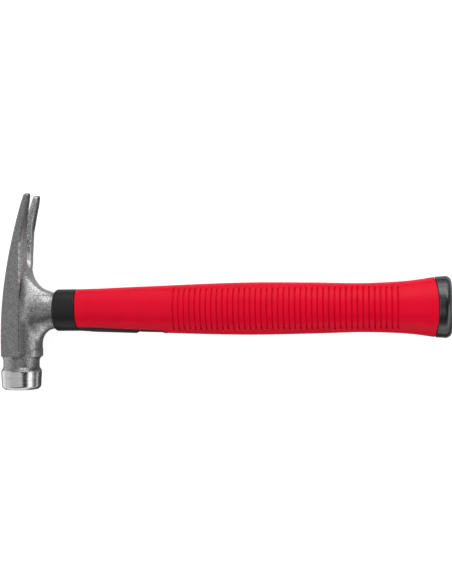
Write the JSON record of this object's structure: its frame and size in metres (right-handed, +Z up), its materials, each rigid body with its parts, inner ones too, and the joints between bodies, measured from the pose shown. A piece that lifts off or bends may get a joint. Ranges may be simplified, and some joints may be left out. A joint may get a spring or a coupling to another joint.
{
  "type": "electrician hammer",
  "caption": "Claw hammer with a round striking face, a slim split claw, a fibre core and a grooved soft grip with a flared butt.",
  "frame": {"origin": "middle of the tool's box on the surface that it lies on, with the tool on its side", "axes": "+X along the handle from the head to the butt, +Y from the striking face to the claw, +Z up, across the width of the tool"},
  "size_m": [0.324, 0.1424, 0.0321],
  "materials": {
    "forged_steel": "blasted forging with a ground bell and face",
    "resin": "cured epoxy",
    "glass_fibre": "pultruded glass fibre",
    "black_plastic": "satin moulded",
    "guard_rubber": "matt moulded",
    "red_grip": "satin soft moulded"
  },
  "bodies": {
    "root": {"hammer_head": "forged_steel", "eye_resin": "resin", "core_rod": "glass_fibre", "handle_jacket": "black_plastic", "overstrike_guard": "guard_rubber", "grip_sleeve": "red_grip", "end_cap": "black_plastic"}
  },
  "joints": []
}
